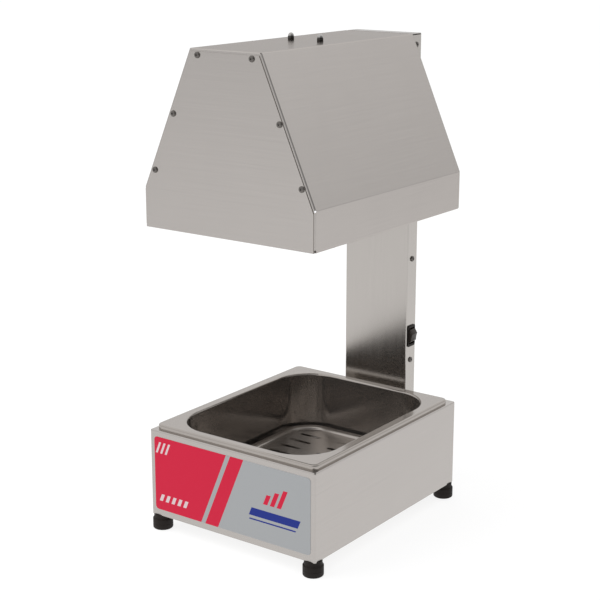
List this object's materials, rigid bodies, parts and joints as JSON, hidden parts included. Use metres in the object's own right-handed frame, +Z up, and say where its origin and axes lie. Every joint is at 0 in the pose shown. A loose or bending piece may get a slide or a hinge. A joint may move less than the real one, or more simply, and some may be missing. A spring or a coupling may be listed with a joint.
{
  "type": "chip warmer",
  "caption": "Counter-top chip warmer: folded steel base with lift-out drain pan, rear box column with rocker switch, and a trapezoidal heated hood over the pan.",
  "frame": {"origin": "centre of the overall footprint on the counter, under the rubber feet", "axes": "+Z up, +X to the right seen from the front, the labelled front faces -Y and the column stands at +Y"},
  "size_m": [0.2827, 0.3828, 0.6685],
  "materials": {
    "stainless": "satin folded stainless sheet",
    "stainless_pan": "bright drawn stainless",
    "bright_reflector": "bright anodised",
    "zinc_fixings": "zinc plated",
    "dark_screws": "dull stainless",
    "chrome_nuts": "polished",
    "black_rubber": "matt",
    "black_nylon": "matt",
    "switch_plastic": "semi-gloss",
    "label_print": "printed film, red and grey",
    "brass": "plain",
    "ceramic": "unglazed",
    "heater_sheath": "heat-tinted",
    "block_plastic": "matt",
    "wire_brown": "silicone",
    "wire_blue": "silicone",
    "wire_green": "silicone"
  },
  "bodies": {
    "frame": {"base_casing": "stainless", "foot_front_left": "black_rubber", "foot_front_right": "black_rubber", "foot_rear_left": "black_rubber", "foot_rear_right": "black_rubber", "foot_screws": "zinc_fixings", "foot_washers": "zinc_fixings", "foot_nuts": "zinc_fixings", "front_label": "label_print", "column_channel": "stainless", "column_cover": "stainless", "column_screws": "dark_screws", "casing_bolts": "zinc_fixings", "casing_bolt_nuts": "zinc_fixings", "hood_bolts": "zinc_fixings", "hood_bolt_nuts": "zinc_fixings", "switch_body": "switch_plastic", "switch_terminals": "brass", "cord_gland": "black_nylon", "gland_nut": "black_nylon", "terminal_block": "block_plastic", "terminal_screws": "zinc_fixings", "block_screws": "zinc_fixings", "earth_stud": "brass", "earth_nut": "brass", "hood_shell": "stainless", "hood_front_panel": "stainless", "hood_rear_panel": "stainless", "hood_front_screws": "dark_screws", "hood_rear_screws": "dark_screws", "reflector": "bright_reflector", "reflector_studs": "zinc_fixings", "acorn_nuts": "chrome_nuts", "spacer_tubes": "zinc_fixings", "stud_nuts": "zinc_fixings", "heating_element": "heater_sheath", "element_brackets": "zinc_fixings", "bracket_screws": "zinc_fixings", "bracket_nuts": "zinc_fixings", "element_bushings": "brass", "bushing_nuts": "brass", "element_insulators": "ceramic", "element_pins": "brass", "wire_grommet": "black_rubber", "wire_supply_live": "wire_brown", "wire_switched_live": "wire_brown", "wire_neutral": "wire_blue", "wire_earth": "wire_green"},
    "pan": {"pan": "stainless_pan"},
    "drain": {"drain_plate": "stainless_pan"},
    "rocker": {"switch_rocker": "switch_plastic"}
  },
  "joints": [
    {"name": "pan_lift", "type": "slide", "parent": "frame", "child": "pan", "axis": [0, 0, 1], "range_m": [0, 0.11]},
    {"name": "drain_lift", "type": "slide", "parent": "pan", "child": "drain", "axis": [0, 0, 1], "range_m": [0, 0.1]},
    {"name": "rocker_tilt", "type": "hinge", "parent": "frame", "child": "rocker", "pos_m": [0.05125, 0.16742, 0.2247], "axis": [0, 1, 0], "range_deg": [-20, 0]}
  ]
}
